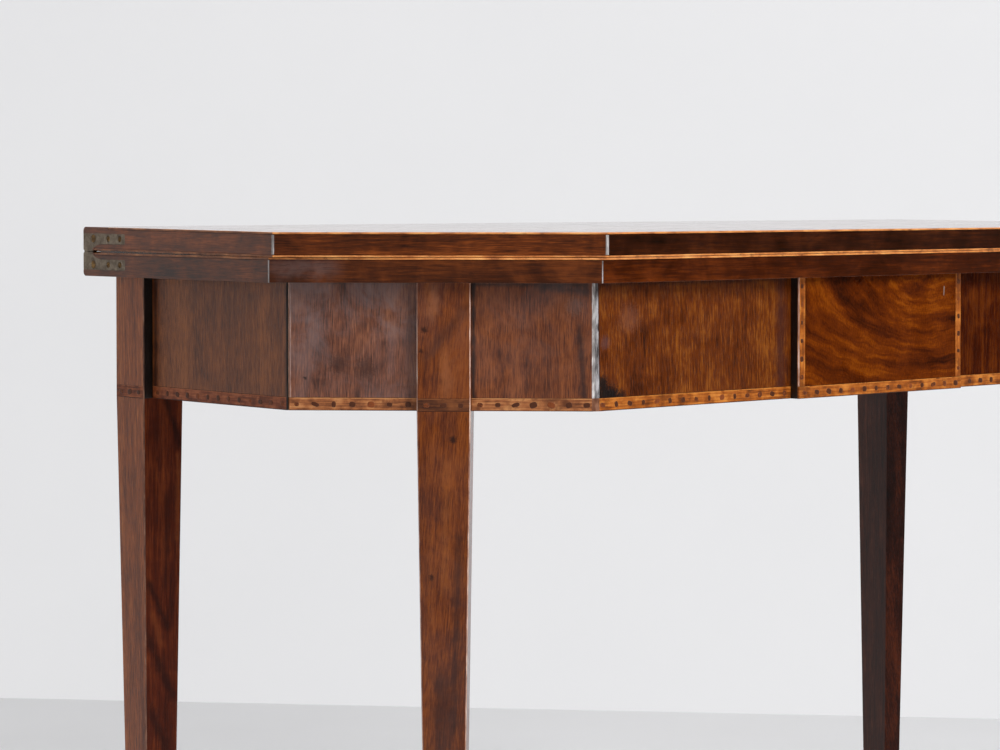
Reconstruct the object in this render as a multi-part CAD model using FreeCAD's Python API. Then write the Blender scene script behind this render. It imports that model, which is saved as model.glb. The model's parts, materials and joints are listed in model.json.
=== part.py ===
import FreeCAD, Part
import math
import os

# Fold-over card table with a half-octagonal top, in millimetres.
# X runs along the width, Y to the back, Z up.
# The origin is on the floor, under the middle of the table's box.

# Top: two leaves of one outline, the flap folded flat on the fixed leaf
top_width = 1010.0
top_return = 252.5            # straight end, from the back edge to the first corner
top_cant = 179.0              # run of each canted corner, sideways and forwards
leaf_thickness = 19.0
leaf_gap = 2.2                # air between the folded leaves at the back, where the hinges hold them apart
front_gap = 0.3               # air between the leaves' front edges
leaf_skew = 2.5               # each leaf's canted edges are cut this far off true, in opposite senses
leaf_back_round = 3.5         # outer back arris of each leaf
string_size = 2.0             # boxwood line let into an arris, square in section
top_string_start = 36.0       # the line on the flap's upper arris starts this far from the back edge
joint_string_start = 15.5     # the lines beside the joint start behind the hinge necks

# Frieze: veneered rails on five facets, set in under the top
overhang = 18.0               # on the front and the canted corners
end_overhang = 20.0
frieze_height = 98.0
veneer_thickness = 1.5
rail_thickness = 22.0
banding_height = 10.0
tablet_width = 203.0
tablet_proud = 8.5
tablet_border = 7.5
leg_proud = 8.2               # legs stand out from the frieze by this much

# Legs, square in section and tapered on all four sides
leg_length = 598.0            # floor to the lower edge of the frieze
front_leg_width = 41.0
front_leg_foot = 24.0
front_leg_shift = 2.5         # forwards from the middle of the canted facet
gate_leg_width = 39.0
gate_leg_foot = 22.0
leg_arris = 0.8
leg_banding_depth = 1.5
joint_play = 0.1              # slack of the glued joints

# Gates: a fly rail and leg on each side, swinging on a wooden knuckle behind the back rail
gate_leg_setback = 29.0       # back edge of the top to the back of the leg
gate_clearance = 1.0          # between a gate and the fixed frame
gate_drop = 0.5               # top of a gate below the leaf
right_gate_ajar = 5.0         # degrees that the right gate stands open
fly_thickness = 22.0
fly_height = 88.0
knuckle_spacing = 130.0       # between the two gate pins
knuckle_fingers = 5
knuckle_play = 0.4            # between fingers, along the pin
knuckle_relief = 0.8          # from a finger's round end to the shoulder it faces
gate_pin_radius = 3.0
gate_pin_fit = 0.08
tenon_thickness = 9.0
tenon_height = 60.0
tenon_length = 24.0

# Inner carcase
bearer_width = 60.0
bearer_thickness = 20.0
block_leg = 34.0              # side of a corner block along each rail
block_height = 62.0

# Brass hinges let into the ends of both leaves
plate_length = 59.5
plate_height = 8.6
plate_thickness = 3.0
neck_width = 13.0
neck_gap = 0.6                # between the tips of the two necks
neck_hollow = 14.0            # length of the hollow curve from the neck to the plate's inner edge
neck_rise = 4.2               # height of that curve
plate_end_round = 1.5
hinge_offset = 0.3            # pin centre behind the back edge
hinge_eye_radius = 2.8
hinge_eye_width = 4.0
hinge_eye_play = 0.3
hinge_pin_radius = 1.5
hinge_pin_fit = 0.05
hinge_relief = 0.5

# Screws
screw_sides = 12              # flats round a head and a shank
hinge_screw_places = (14.0, 35.5, 52.0)
plate_rim = 0.4               # brass beside the largest screw head
small_screw_head = 2.7
hinge_screw_shank = 1.5
hinge_screw_length = 19.0
pocket_depth = 32.0           # head seat below the top of the rail
pocket_angle = 14.0
pocket_radius = 6.5
wood_screw_head = 4.4
wood_screw_shank = 2.4
wood_screw_head_depth = 2.5
wood_screw_bite = 12.0        # length in the piece that the screw holds
block_screw_inset = 26.0      # from the middle to each screw in the knuckle block

# Levels and depths that follow from the sizes above
top_depth = top_return + top_cant
half_width = top_width / 2
frieze_half = half_width - end_overhang
frieze_depth = top_depth - overhang
barrel_radius = fly_thickness / 2
knuckle_x = knuckle_spacing / 2
gate_leg_outer = frieze_half + leg_proud
knuckle_to_leg_back = gate_leg_width - barrel_radius
ajar = math.radians(right_gate_ajar)
gate_reach = (gate_leg_outer - leg_arris - knuckle_x) * math.sin(ajar) + knuckle_to_leg_back * math.cos(ajar)
gate_reach = gate_reach - knuckle_to_leg_back - gate_leg_setback
hinge_reach = hinge_offset + hinge_eye_radius
back_y = (top_depth - max(gate_reach, hinge_reach)) / 2
frieze_low = leg_length
frieze_top = frieze_low + frieze_height
fixed_top = frieze_top + leaf_thickness
flap_low = fixed_top + leaf_gap
flap_top = flap_low + leaf_thickness
hinge_z = fixed_top + leaf_gap / 2
hinge_y = back_y + hinge_offset
frame_back = back_y - gate_leg_setback - gate_leg_width - gate_clearance
back_rail_front = frame_back - rail_thickness
knuckle_y = frame_back + gate_clearance + barrel_radius
flap_lean = math.degrees(math.asin((leaf_gap - front_gap) / (top_depth + hinge_offset)))
gate_top = frieze_top - gate_drop
fly_low = gate_top - fly_height
core = veneer_thickness + rail_thickness
root_half = math.sqrt(0.5)


def flat(corners):
    return Part.Face(Part.makePolygon(corners + corners[:1]))


def prism(points, low, high):
    base = flat([FreeCAD.Vector(x, y, low) for x, y in points])
    return base.extrude(FreeCAD.Vector(0, 0, high - low))


def block(x0, x1, y0, y1, z0, z1):
    return Part.makeBox(x1 - x0, y1 - y0, z1 - z0, FreeCAD.Vector(x0, y0, z0))


def rod(radius, start, way, length):
    return Part.makeCylinder(radius, length, FreeCAD.Vector(*start), FreeCAD.Vector(*way))


def mirrored(shape):
    return shape.mirror(FreeCAD.Vector(0, 0, 0), FreeCAD.Vector(1, 0, 0))


def stacked(rings):
    # solid with flat sides between rings of corners, listed upwards and counted anticlockwise
    faces = [flat(rings[0][::-1]), flat(rings[-1])]
    for low, high in zip(rings, rings[1:]):
        for i in range(len(low)):
            j = (i + 1) % len(low)
            faces.append(flat([low[i], low[j], high[j], high[i]]))
    return Part.makeSolid(Part.makeShell(faces))


def wood_screw(head, shank, head_depth, length, start, way):
    # countersunk head with its flat face at the start, then the shank
    def ring(radius, z):
        turns = [2 * math.pi * i / screw_sides for i in range(screw_sides)]
        return [FreeCAD.Vector(radius * math.cos(a), radius * math.sin(a), z) for a in turns]

    screw = stacked([ring(head, 0), ring(shank, head_depth), ring(shank, length)])
    turn = FreeCAD.Rotation(FreeCAD.Vector(0, 0, 1), FreeCAD.Vector(*way))
    screw.Placement = FreeCAD.Placement(FreeCAD.Vector(*start), turn)
    return screw


def save(name, shape):
    # the folded flap leans forwards on its hinge pins, and the right gate is turned on its knuckle
    shape = shape.copy()
    if "flap" in name:
        shape.rotate(FreeCAD.Vector(0, hinge_y, hinge_z), FreeCAD.Vector(1, 0, 0), flap_lean)
    if name in ("right_fly_rail", "right_gate_leg", "right_gate_leg_banding"):
        shape.rotate(FreeCAD.Vector(knuckle_x, knuckle_y, 0), FreeCAD.Vector(0, 0, 1), right_gate_ajar)
    shape.exportStep("parts/" + name + ".step")


# Plan outlines

def leaf_corners(inset, skew, start):
    # corners of a leaf's edge from left to right, beginning behind the back edge by start
    rise = math.tan(math.pi / 8) * inset
    end = half_width - inset
    first = top_return + skew - rise
    front = half_width - top_cant - skew - rise
    left = [(-end, back_y - start), (-end, back_y - first), (-front, back_y - top_depth + inset)]
    return left + [(-x, y) for x, y in reversed(left)]


def frieze_corner(index, inset):
    # corners of the frieze from left to right, on a line set in from its face
    end = frieze_half - inset
    depth = frieze_depth - inset
    cant = half_width + top_return - (overhang + inset) / root_half
    left = [(-end, frame_back), (-end, back_y - (cant - end)), (depth - cant, back_y - depth)]
    ring = left + [(-x, y) for x, y in reversed(left)]
    return ring[index]


def cant_middle(inset, along):
    # a point on the left canted facet, measured from the facet's middle towards the front
    a = frieze_corner(1, 0)
    b = frieze_corner(2, 0)
    x = (a[0] + b[0]) / 2 + (along + inset) * root_half
    y = (a[1] + b[1]) / 2 - (along - inset) * root_half
    return (x, y)


def facet_strip(index, outer, inner, low, high):
    # a strip along a whole facet, mitred where it meets its neighbours
    points = [frieze_corner(index, outer), frieze_corner(index + 1, outer)]
    points += [frieze_corner(index + 1, inner), frieze_corner(index, inner)]
    return prism(points, low, high)


# Brass hinge on the left end: both plates, their eyes and the cuts they need

def hinge_plate(side):
    # outline in Y and Z, with side +1 on the flap and -1 on the fixed leaf
    x = -half_width
    middle = leaf_thickness / 2
    low = middle - plate_height / 2
    high = middle + plate_height / 2
    base = hinge_z + side * leaf_gap / 2

    def at(y, z):
        return FreeCAD.Vector(x, back_y - y, base + side * z)

    def line(a, b):
        return Part.LineSegment(a, b).toShape()

    turn = 1 - root_half
    end = plate_length
    hollow = neck_width + neck_hollow
    lip = plate_end_round
    tip = (neck_gap - leaf_gap) / 2
    bend = (neck_hollow ** 2 + neck_rise ** 2) / (2 * neck_rise)
    half_turn = math.asin(neck_hollow / bend) / 2
    hollow_arc = [at(neck_width, low - neck_rise),
                  at(hollow - bend * math.sin(half_turn), low - bend * (1 - math.cos(half_turn))),
                  at(hollow, low)]
    inner_arc = [at(end - lip, low), at(end - lip * turn, low + lip * turn), at(end, low + lip)]
    outer_arc = [at(end, high - lip), at(end - lip * turn, high - lip * turn), at(end - lip, high)]
    edges = [
        line(at(0, tip), at(neck_width, tip)),
        line(at(neck_width, tip), hollow_arc[0]),
        Part.Arc(*hollow_arc).toShape(),
        line(hollow_arc[2], inner_arc[0]),
        Part.Arc(*inner_arc).toShape(),
        line(inner_arc[2], outer_arc[0]),
        Part.Arc(*outer_arc).toShape(),
        line(outer_arc[2], at(0, high)),
        line(at(0, high), at(0, tip)),
    ]
    return Part.Face(Part.Wire(edges)).extrude(FreeCAD.Vector(plate_thickness, 0, 0))


def eye_span(side):
    # the flap's eye lies next to the plates and the fixed leaf's eye inside it
    first = -half_width + plate_thickness
    step = hinge_eye_width + hinge_eye_play
    start = first if side > 0 else first + step
    return start, start + hinge_eye_width


def hinge_arm(side):
    # the arm that carries the eye inwards from the neck, let into the leaf's back arris
    start, end = eye_span(side)
    base = hinge_z + side * neck_gap / 2
    far = base + side * hinge_eye_radius * 2
    root = -half_width + plate_thickness
    return block(root, end, back_y - neck_width, back_y, min(base, far), max(base, far))


def hinge_eye(side):
    start, end = eye_span(side)
    base = hinge_z + side * neck_gap / 2
    barrel = rod(hinge_eye_radius, (start, hinge_y, hinge_z), (1, 0, 0), hinge_eye_width)
    web = block(start, end, back_y - hinge_eye_radius, back_y, min(base, hinge_z), max(base, hinge_z))
    return barrel.fuse(web)


def eye_room(side):
    # the space that the other plate's eye turns in
    start, end = eye_span(-side)
    room = hinge_eye_radius + hinge_relief
    length = end - start + 2 * hinge_eye_play
    return rod(room, (start - hinge_eye_play, hinge_y, hinge_z), (1, 0, 0), length)


def hinge_screws(side):
    z = hinge_z + side * (leaf_gap / 2 + leaf_thickness / 2)
    heads = (plate_height / 2 - plate_rim, small_screw_head, small_screw_head)
    screws = []
    for place, head in zip(hinge_screw_places, heads):
        start = (-half_width, back_y - place, z)
        screws.append(wood_screw(head, hinge_screw_shank, plate_thickness, hinge_screw_length,
                                 start, (1, 0, 0)))
    return screws


def hinge_parts(side):
    blank = hinge_plate(side).fuse(hinge_arm(side)).cut(eye_room(side)).fuse(hinge_eye(side))
    bore_radius = hinge_pin_radius + hinge_pin_fit if side > 0 else hinge_pin_radius
    bore = rod(bore_radius, (-half_width, hinge_y, hinge_z), (1, 0, 0), neck_width * 2)
    recess = hinge_plate(side).fuse(hinge_arm(side))
    screws = hinge_screws(side)
    plate = blank.cut(bore).cut(Part.makeCompound(screws)).removeSplitter()
    return plate, screws, [recess, eye_room(side)]


# Leaves

def leaf_solid(low, skew, round_level):
    leaf = prism(leaf_corners(0, skew, 0), low, low + leaf_thickness)
    back = [e for e in leaf.Edges if all(abs(v.Y - back_y) < 0.01 and abs(v.Z - round_level) < 0.01
                                         for v in e.Vertexes)]
    return leaf.makeFillet(leaf_back_round, back)


def stringing(skew, start, low):
    outer = leaf_corners(0, skew, start)
    inner = leaf_corners(string_size, skew, start)
    return prism(outer + inner[::-1], low, low + string_size)


flap_plate, flap_screws, flap_cuts = hinge_parts(1)
fixed_plate, fixed_screws, fixed_cuts = hinge_parts(-1)

flap_top_string = stringing(leaf_skew, top_string_start, flap_top - string_size)
flap_low_string = stringing(leaf_skew, joint_string_start, flap_low)
fixed_string = stringing(-leaf_skew, joint_string_start, fixed_top - string_size)

flap_leaf = leaf_solid(flap_low, leaf_skew, flap_top)
flap_leaf = flap_leaf.cut([flap_top_string, flap_low_string] + flap_cuts + [mirrored(c) for c in flap_cuts])
fixed_leaf = leaf_solid(frieze_top, -leaf_skew, frieze_top)
fixed_leaf = fixed_leaf.cut([fixed_string] + fixed_cuts + [mirrored(c) for c in fixed_cuts])

hinge_pin_length = 2 * hinge_eye_width + hinge_eye_play
hinge_pin = rod(hinge_pin_radius, (-half_width + plate_thickness, hinge_y, hinge_z), (1, 0, 0),
                hinge_pin_length)

# Legs

def tapered_leg(width, foot):
    # upright at the origin, square block above and a taper below, with eased arrises
    def ring(size, z):
        h = size / 2
        c = h - leg_arris
        points = [(-c, -h), (c, -h), (h, -c), (h, c), (c, h), (-c, h), (-h, c), (-h, -c)]
        return [FreeCAD.Vector(x, y, z) for x, y in points]

    return stacked([ring(foot, 0), ring(width, frieze_low), ring(width, frieze_top)])


def leg_banding(width):
    # strip across the outer face, level with the frieze's own banding
    h = width / 2
    c = h - leg_arris
    return block(-c, c, -h, -h + leg_banding_depth, frieze_low, frieze_low + banding_height)


def front_leg(side):
    # the canted rail passes through a slot in the head
    h = front_leg_width / 2
    slot_front = -h + leg_proud + veneer_thickness
    slot_back = slot_front + rail_thickness + joint_play
    slot = block(-h, h, slot_front - joint_play, slot_back, frieze_low, frieze_top)
    band = leg_banding(front_leg_width)
    leg = tapered_leg(front_leg_width, front_leg_foot).cut([slot, band])
    x, y = cant_middle(h - leg_proud, front_leg_shift)
    for shape in (leg, band):
        shape.rotate(FreeCAD.Vector(0, 0, 0), FreeCAD.Vector(0, 0, 1), 45 * side)
        shape.translate(FreeCAD.Vector(-side * x, y, 0))
    return leg, band


left_leg, left_leg_band = front_leg(-1)
right_leg, right_leg_band = front_leg(1)

# Gates, drawn on the left: leg, fly rail and the fingers of its knuckle

gate_leg_x = -gate_leg_outer + gate_leg_width / 2
gate_leg_y = back_y - gate_leg_setback - gate_leg_width / 2
gate_leg_inner = -gate_leg_outer + gate_leg_width
fly_front = knuckle_y - barrel_radius
fly_back = knuckle_y + barrel_radius
finger_pitch = fly_height / knuckle_fingers


def finger_levels(parity, grow):
    # heights of every second finger, counted from the bottom
    levels = []
    for i in range(parity, knuckle_fingers, 2):
        low = fly_low + i * finger_pitch
        high = low + finger_pitch
        low = low + knuckle_play / 2 - grow if i > 0 else low - grow
        high = high - knuckle_play / 2 + grow if i < knuckle_fingers - 1 else high + grow
        levels.append((low, high))
    return levels


def tenon(slack):
    middle = (frieze_low + frieze_top) / 2
    y = knuckle_y
    half = tenon_thickness / 2 + slack
    tall = tenon_height / 2 + slack
    return block(gate_leg_inner - tenon_length - slack, gate_leg_inner + tenon_thickness,
                 y - half, y + half, middle - tall, middle + tall)


def fly_rail():
    shoulder = barrel_radius + knuckle_relief
    rail = block(gate_leg_inner, -knuckle_x - shoulder, fly_front, fly_back, fly_low, gate_top)
    rail = rail.fuse(tenon(0))
    for low, high in finger_levels(1, 0):
        barrel = rod(barrel_radius, (-knuckle_x, knuckle_y, low), (0, 0, 1), high - low)
        web = block(-knuckle_x - shoulder, -knuckle_x, fly_front, fly_back, low, high)
        rail = rail.fuse(barrel.fuse(web))
    bore = rod(gate_pin_radius + gate_pin_fit, (-knuckle_x, knuckle_y, fly_low), (0, 0, 1), fly_height)
    return rail.cut(bore).removeSplitter()


def gate_leg():
    band = leg_banding(gate_leg_width)
    leg = tapered_leg(gate_leg_width, gate_leg_foot)
    over = block(-gate_leg_width, gate_leg_width, -gate_leg_width, gate_leg_width, gate_top, frieze_top)
    leg = leg.cut([band, over])
    for shape in (leg, band):
        shape.rotate(FreeCAD.Vector(0, 0, 0), FreeCAD.Vector(0, 0, 1), -90)
        shape.translate(FreeCAD.Vector(gate_leg_x, gate_leg_y, 0))
    return leg.cut(tenon(joint_play)), band


left_fly_rail = fly_rail()
left_gate_leg, left_gate_band = gate_leg()

# Knuckle block between the two gates, screwed to the back rail

block_half = knuckle_x - barrel_radius - knuckle_relief
knuckle_block = block(-block_half, block_half, frame_back, fly_back, fly_low, gate_top)
for side in (-1, 1):
    for low, high in finger_levels(0, 0):
        barrel = rod(barrel_radius, (side * knuckle_x, knuckle_y, low), (0, 0, 1), high - low)
        ends = sorted([side * block_half, side * knuckle_x])
        web = block(ends[0], ends[1], fly_front, fly_back, low, high)
        knuckle_block = knuckle_block.fuse(barrel.fuse(web))
    bore = rod(gate_pin_radius, (side * knuckle_x, knuckle_y, fly_low), (0, 0, 1), fly_height)
    knuckle_block = knuckle_block.cut(bore)
left_gate_pin = rod(gate_pin_radius, (-knuckle_x, knuckle_y, fly_low), (0, 0, 1), fly_height)

block_screws = []
for side in (-1, 1):
    start = (side * block_screw_inset, fly_back, (fly_low + gate_top) / 2)
    length = fly_back - frame_back + wood_screw_bite
    block_screws.append(wood_screw(wood_screw_head, wood_screw_shank, wood_screw_head_depth, length,
                                   start, (0, -1, 0)))
knuckle_block = knuckle_block.cut(block_screws).removeSplitter()

# Rails of the frieze, with pockets for the screws that hold the top

end_rail = facet_strip(0, veneer_thickness, core, frieze_low, frieze_top)
cant_rail = facet_strip(1, veneer_thickness, core, frieze_low, frieze_top)
front_rail = facet_strip(2, veneer_thickness, core, frieze_low, frieze_top)
back_rail = block(-frieze_half + core, frieze_half - core, back_rail_front, frame_back,
                  frieze_low, frieze_top)


def pocket(x, y, inward):
    # screw through the middle of a rail's top, leaning inwards, and the pocket that its head sits in
    lean = math.tan(math.radians(pocket_angle))
    way = FreeCAD.Vector(-inward[0] * lean, -inward[1] * lean, 1).normalize()
    seat = FreeCAD.Vector(x + inward[0] * pocket_depth * lean, y + inward[1] * pocket_depth * lean,
                          frieze_top - pocket_depth)
    length = (pocket_depth + wood_screw_bite) / way.z
    screw = wood_screw(wood_screw_head, wood_screw_shank, wood_screw_head_depth, length,
                       tuple(seat), tuple(way))
    hollow = Part.makeCylinder(pocket_radius, frieze_height, seat, way * -1)
    return screw, hollow


middle_line = veneer_thickness + rail_thickness / 2
front_a = frieze_corner(2, middle_line)
back_middle = (frame_back + back_rail_front) / 2
front_screw, front_hollow = pocket(front_a[0] / 2, front_a[1], (0, 1))
back_screw, back_hollow = pocket(-frieze_half / 2, back_middle, (0, -1))
front_rail = front_rail.cut([front_screw, front_hollow, mirrored(front_screw), mirrored(front_hollow)])
back_rail = back_rail.cut([back_screw, back_hollow, mirrored(back_screw), mirrored(back_hollow)])
top_screws = [front_screw, back_screw]
top_screws += [mirrored(s) for s in top_screws]

# Cross bearer under the top and glue blocks in the corners of the frame

cross_bearer = block(-bearer_width / 2, bearer_width / 2, back_y - frieze_depth + core, back_rail_front,
                     frieze_top - bearer_thickness, frieze_top)


def corner_block(index):
    here = frieze_corner(index, core)
    before = frieze_corner(index - 1, core)
    after = frieze_corner(index + 1, core)
    points = [here]
    for other in (before, after):
        length = math.hypot(other[0] - here[0], other[1] - here[1])
        share = block_leg / length
        points.append((here[0] + (other[0] - here[0]) * share, here[1] + (other[1] - here[1]) * share))
    return prism(points, frieze_top - block_height, frieze_top)


def back_corner_block():
    x = -frieze_half + core
    y = back_rail_front
    return prism([(x, y), (x + block_leg, y), (x, y - block_leg)], frieze_top - block_height, frieze_top)


corner_blocks = [corner_block(1), corner_block(2), back_corner_block()]
corner_blocks += [mirrored(b) for b in corner_blocks]

# Veneers and banding on the faces of the frieze

veneer_low = frieze_low + banding_height
levels = {"veneer": (veneer_low, frieze_top), "banding": (frieze_low, veneer_low)}


def end_skin(low, high):
    return facet_strip(0, 0, veneer_thickness, low, high)


def cant_skins(low, high):
    # one strip on each side of the leg
    near = front_leg_shift - front_leg_width / 2
    far = front_leg_shift + front_leg_width / 2
    t = veneer_thickness
    rear = [frieze_corner(1, 0), cant_middle(0, near), cant_middle(t, near), frieze_corner(1, t)]
    front = [cant_middle(0, far), frieze_corner(2, 0), frieze_corner(2, t), cant_middle(t, far)]
    return prism(rear, low, high), prism(front, low, high)


def flank_skin(low, high):
    t = veneer_thickness
    outer = frieze_corner(2, 0)
    inner = frieze_corner(2, t)
    edge = -tablet_width / 2
    return prism([outer, (edge, outer[1]), (edge, inner[1]), inner], low, high)


# Tablet that stands out from the middle of the front

tablet_back = back_y - frieze_depth + veneer_thickness
tablet_face = back_y - frieze_depth - tablet_proud
tablet_half = tablet_width / 2
field_half = tablet_half - tablet_border
tablet_skin_back = tablet_face + veneer_thickness
tablet_core = block(-tablet_half, tablet_half, tablet_skin_back, tablet_back, frieze_low, frieze_top)
tablet_veneer = block(-field_half, field_half, tablet_face, tablet_skin_back, veneer_low, frieze_top)
tablet_side = block(-tablet_half, -field_half, tablet_face, tablet_skin_back, veneer_low, frieze_top)
tablet_banding = block(-tablet_half, tablet_half, tablet_face, tablet_skin_back, frieze_low, veneer_low)

# Files, one for each piece

os.makedirs("parts", exist_ok=True)
save("flap_leaf", flap_leaf)
save("flap_upper_stringing", flap_top_string)
save("flap_lower_stringing", flap_low_string)
save("fixed_leaf", fixed_leaf)
save("fixed_leaf_stringing", fixed_string)
save("front_rail", front_rail)
save("back_rail", back_rail)
save("cross_bearer", cross_bearer)
save("corner_blocks", Part.makeCompound(corner_blocks))
save("knuckle_block", knuckle_block)
save("knuckle_block_screws", Part.makeCompound(block_screws))
save("top_pocket_screws", Part.makeCompound(top_screws))
save("tablet_core", tablet_core)
save("tablet_veneer", tablet_veneer)
save("tablet_banding", tablet_banding)
save("left_front_leg", left_leg)
save("right_front_leg", right_leg)
save("left_front_leg_banding", left_leg_band)
save("right_front_leg_banding", right_leg_band)
save("flap_hinge_screws", Part.makeCompound(flap_screws + [mirrored(s) for s in flap_screws]))
save("fixed_hinge_screws", Part.makeCompound(fixed_screws + [mirrored(s) for s in fixed_screws]))

pairs = {
    "end_rail": end_rail,
    "canted_rail": cant_rail,
    "gate_pin": left_gate_pin,
    "fly_rail": left_fly_rail,
    "gate_leg": left_gate_leg,
    "gate_leg_banding": left_gate_band,
    "flap_hinge_plate": flap_plate,
    "fixed_hinge_plate": fixed_plate,
    "hinge_pin": hinge_pin,
    "tablet_side_banding": tablet_side,
}
for kind, (low, high) in levels.items():
    rear, front = cant_skins(low, high)
    pairs["end_" + kind] = end_skin(low, high)
    pairs["canted_rear_" + kind] = rear
    pairs["canted_front_" + kind] = front
    pairs["front_flank_" + kind] = flank_skin(low, high)
for name, shape in pairs.items():
    save("left_" + name, shape)
    save("right_" + name, mirrored(shape))
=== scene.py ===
import json
import math
import bmesh
import bpy
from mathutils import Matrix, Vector

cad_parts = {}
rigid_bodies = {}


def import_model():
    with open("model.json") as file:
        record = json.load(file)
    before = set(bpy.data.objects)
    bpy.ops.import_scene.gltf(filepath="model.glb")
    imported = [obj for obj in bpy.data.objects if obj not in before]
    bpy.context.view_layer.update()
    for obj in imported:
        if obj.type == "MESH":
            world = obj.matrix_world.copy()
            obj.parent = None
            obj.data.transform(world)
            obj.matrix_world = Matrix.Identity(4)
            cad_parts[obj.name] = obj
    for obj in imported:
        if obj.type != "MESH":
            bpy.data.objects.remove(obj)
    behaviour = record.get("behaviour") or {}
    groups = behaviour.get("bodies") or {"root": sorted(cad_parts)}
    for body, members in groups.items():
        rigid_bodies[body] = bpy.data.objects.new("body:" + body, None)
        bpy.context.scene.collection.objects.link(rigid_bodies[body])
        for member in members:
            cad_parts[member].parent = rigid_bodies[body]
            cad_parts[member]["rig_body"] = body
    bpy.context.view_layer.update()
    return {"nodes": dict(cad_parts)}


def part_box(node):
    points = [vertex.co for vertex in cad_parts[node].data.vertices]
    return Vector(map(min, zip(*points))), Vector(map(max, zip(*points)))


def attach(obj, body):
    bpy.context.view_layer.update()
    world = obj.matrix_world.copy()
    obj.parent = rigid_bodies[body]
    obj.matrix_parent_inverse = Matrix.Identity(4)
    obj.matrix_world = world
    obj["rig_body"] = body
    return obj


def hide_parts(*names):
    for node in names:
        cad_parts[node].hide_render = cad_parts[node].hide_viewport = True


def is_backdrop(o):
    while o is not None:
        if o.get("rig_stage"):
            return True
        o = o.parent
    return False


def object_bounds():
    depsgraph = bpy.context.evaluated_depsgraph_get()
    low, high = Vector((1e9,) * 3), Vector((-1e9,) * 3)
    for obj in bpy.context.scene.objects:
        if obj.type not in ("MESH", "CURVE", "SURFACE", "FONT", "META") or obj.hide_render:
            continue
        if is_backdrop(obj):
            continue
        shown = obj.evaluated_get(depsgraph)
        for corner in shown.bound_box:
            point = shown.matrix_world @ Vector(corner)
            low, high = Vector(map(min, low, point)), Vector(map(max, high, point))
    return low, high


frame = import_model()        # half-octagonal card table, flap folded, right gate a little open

nodes = frame["nodes"]
scene = bpy.context.scene
print("frame loaded,", len(nodes), "nodes")


# Shader helpers

def tone(red, green, blue):
    # screen colour from 0 to 255, turned into the linear colour that shaders take
    def linear(v):
        v = v / 255
        return v / 12.92 if v <= 0.04045 else ((v + 0.055) / 1.055) ** 2.4
    return (linear(red), linear(green), linear(blue), 1.0)


def put(tree, kind, inputs=None, **settings):
    node = tree.nodes.new(kind)
    for key, value in settings.items():
        setattr(node, key, value)
    for key, value in (inputs or {}).items():
        if isinstance(value, bpy.types.NodeSocket):
            tree.links.new(value, node.inputs[key])
        else:
            node.inputs[key].default_value = value
    return node


# a helper without a tree among its values works in that of its first socket

def calc(operation, a, b=0.0):
    return put(a.id_data, "ShaderNodeMath", {0: a, 1: b}, operation=operation).outputs[0]


def times(a, b):
    return calc("MULTIPLY", a, b)


def combined(tree, **axes):
    return put(tree, "ShaderNodeCombineXYZ", axes).outputs[0]


def vectors(operation, a, b=(0, 0, 0)):
    node = put(a.id_data, "ShaderNodeVectorMath", {0: a, 1: b}, operation=operation)
    return node.outputs["Value" if operation in ("LENGTH", "DISTANCE", "DOT_PRODUCT") else "Vector"]


def mixed(tree, share, a, b):
    return put(tree, "ShaderNodeMix", {0: share, 6: a, 7: b}, data_type="RGBA").outputs[2]


def spread(value, low, high, toLow=0.0, toHigh=1.0, kind="SMOOTHSTEP"):
    sockets = {"Value": value, "From Min": low, "From Max": high, "To Min": toLow, "To Max": toHigh}
    return put(value.id_data, "ShaderNodeMapRange", sockets, interpolation_type=kind).outputs[0]


def ramp(value, places, tones):
    node = put(value.id_data, "ShaderNodeValToRGB", {0: value})
    points = node.color_ramp.elements
    while len(points) < len(places):
        points.new(0.5)
    for point, place, colour in zip(points, places, tones):
        point.position = place
        point.color = tone(*colour)
    return node.outputs[0]


def mapped(vector, location=(0, 0, 0), rotation=(0, 0, 0), scale=(1, 1, 1)):
    sockets = {"Vector": vector, "Location": location, "Rotation": rotation, "Scale": scale}
    return put(vector.id_data, "ShaderNodeMapping", sockets).outputs[0]


def noise(vector, scale, detail=3.0, rough=0.55, bend=0.0):
    sockets = {"Vector": vector, "Scale": scale, "Detail": detail, "Roughness": rough, "Distortion": bend}
    return put(vector.id_data, "ShaderNodeTexNoise", sockets).outputs[0]


def summed(parts):
    # noises round one half, weighted and added up
    value = 0.5
    for source, weight in parts:
        offset = times(calc("SUBTRACT", source, 0.5), weight)
        value = calc("ADD", offset, value)
    return value


def newFinish(name, rough=0.4, metal=0.0, coat=0.0, coatRough=0.2, gloss=0.5):
    finish = bpy.data.materials.new(name)
    finish.use_nodes = True
    tree = finish.node_tree
    tree.nodes.clear()
    skin = put(tree, "ShaderNodeBsdfPrincipled", {"Roughness": rough, "Metallic": metal, "Coat Weight": coat,
                                                  "Coat Roughness": coatRough, "Specular IOR Level": gloss})
    put(tree, "ShaderNodeOutputMaterial", {0: skin.outputs[0]})
    place = put(tree, "ShaderNodeTexCoord").outputs["Object"]
    return finish, tree, skin, place


def levelOf(place):
    return put(place.id_data, "ShaderNodeSeparateXYZ", {0: place}).outputs[2]


def feed(skin, socket, name="Base Color"):
    skin.id_data.links.new(socket, skin.inputs[name])


def bumped(skin, height, depth):
    node = put(skin.id_data, "ShaderNodeBump", {"Height": height, "Distance": depth, "Strength": 1.0})
    feed(skin, node.outputs[0], "Normal")
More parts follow.
